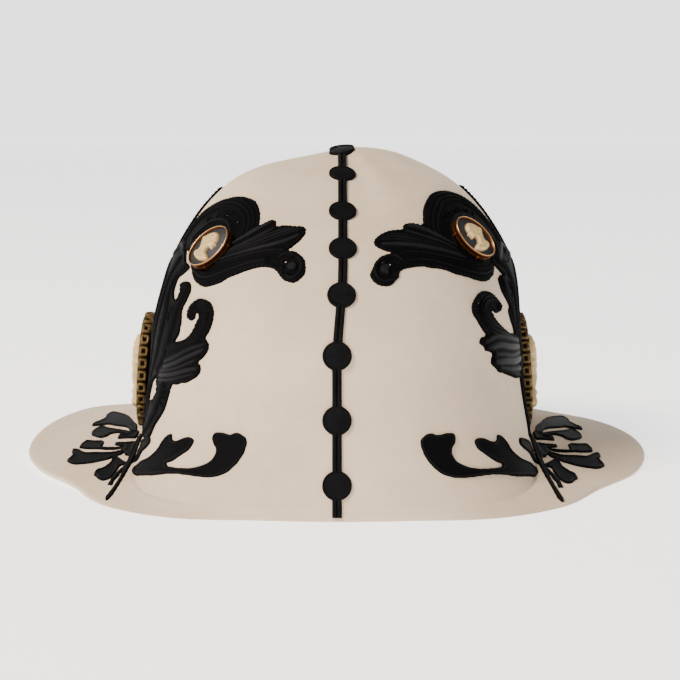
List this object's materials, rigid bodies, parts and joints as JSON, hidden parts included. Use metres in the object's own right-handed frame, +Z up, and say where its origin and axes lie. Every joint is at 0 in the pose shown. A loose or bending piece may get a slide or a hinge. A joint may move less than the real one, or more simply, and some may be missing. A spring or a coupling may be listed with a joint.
{
  "type": "wool felt hat",
  "caption": "Wool felt hat with a deep rounded crown and a wide soft brim, trimmed with black moulded leather leaf scrolls, a dotted cord over the crown and ivory cameos.",
  "frame": {"origin": "on the surface that the hat rests on, under the middle of its box", "axes": "+Z up through the crown, the front of the brim faces -Y, +X along the wide way of the brim"},
  "size_m": [0.29, 0.2422, 0.1482],
  "materials": {
    "felt": "warm off-white wool felt, matte with short fibres",
    "leather": "black moulded leather with a soft sheen",
    "brass": "aged gilt brass, worn bright on the edges",
    "cameo_ground": "dark polished ground",
    "ivory": "ivory coloured moulded relief, darker in the hollows"
  },
  "bodies": {
    "root": {"felt_body": "felt", "centre_cord": "leather", "centre_dot_front_1": "leather", "centre_dot_front_2": "leather", "centre_dot_front_3": "leather", "centre_dot_front_4": "leather", "centre_dot_front_5": "leather", "centre_dot_front_6": "leather", "centre_dot_front_7": "leather", "centre_dot_front_8": "leather", "centre_dot_back_1": "leather", "centre_dot_back_2": "leather", "centre_dot_back_3": "leather", "centre_dot_back_4": "leather", "centre_dot_back_5": "leather", "centre_dot_back_6": "leather", "centre_dot_back_7": "leather", "centre_dot_back_8": "leather", "side_scroll_right": "leather", "side_scroll_left": "leather", "wing_spray_right": "leather", "wing_spray_left": "leather", "upper_scroll_front_right": "leather", "upper_scroll_front_left": "leather", "upper_scroll_back_right": "leather", "upper_scroll_back_left": "leather", "front_spray_front_right": "leather", "front_spray_front_left": "leather", "front_spray_back_right": "leather", "front_spray_back_left": "leather", "large_cameo_gallery_right": "brass", "large_cameo_gallery_left": "brass", "large_cameo_ground_right": "cameo_ground", "large_cameo_ground_left": "cameo_ground", "large_cameo_bust_right": "ivory", "large_cameo_bust_left": "ivory", "cameo_bezel_front_right": "brass", "cameo_bezel_front_left": "brass", "cameo_bezel_back_right": "brass", "cameo_bezel_back_left": "brass", "cameo_ground_front_right": "cameo_ground", "cameo_ground_front_left": "cameo_ground", "cameo_ground_back_right": "cameo_ground", "cameo_ground_back_left": "cameo_ground", "cameo_bust_front_right": "ivory", "cameo_bust_front_left": "ivory", "cameo_bust_back_right": "ivory", "cameo_bust_back_left": "ivory"}
  },
  "joints": []
}
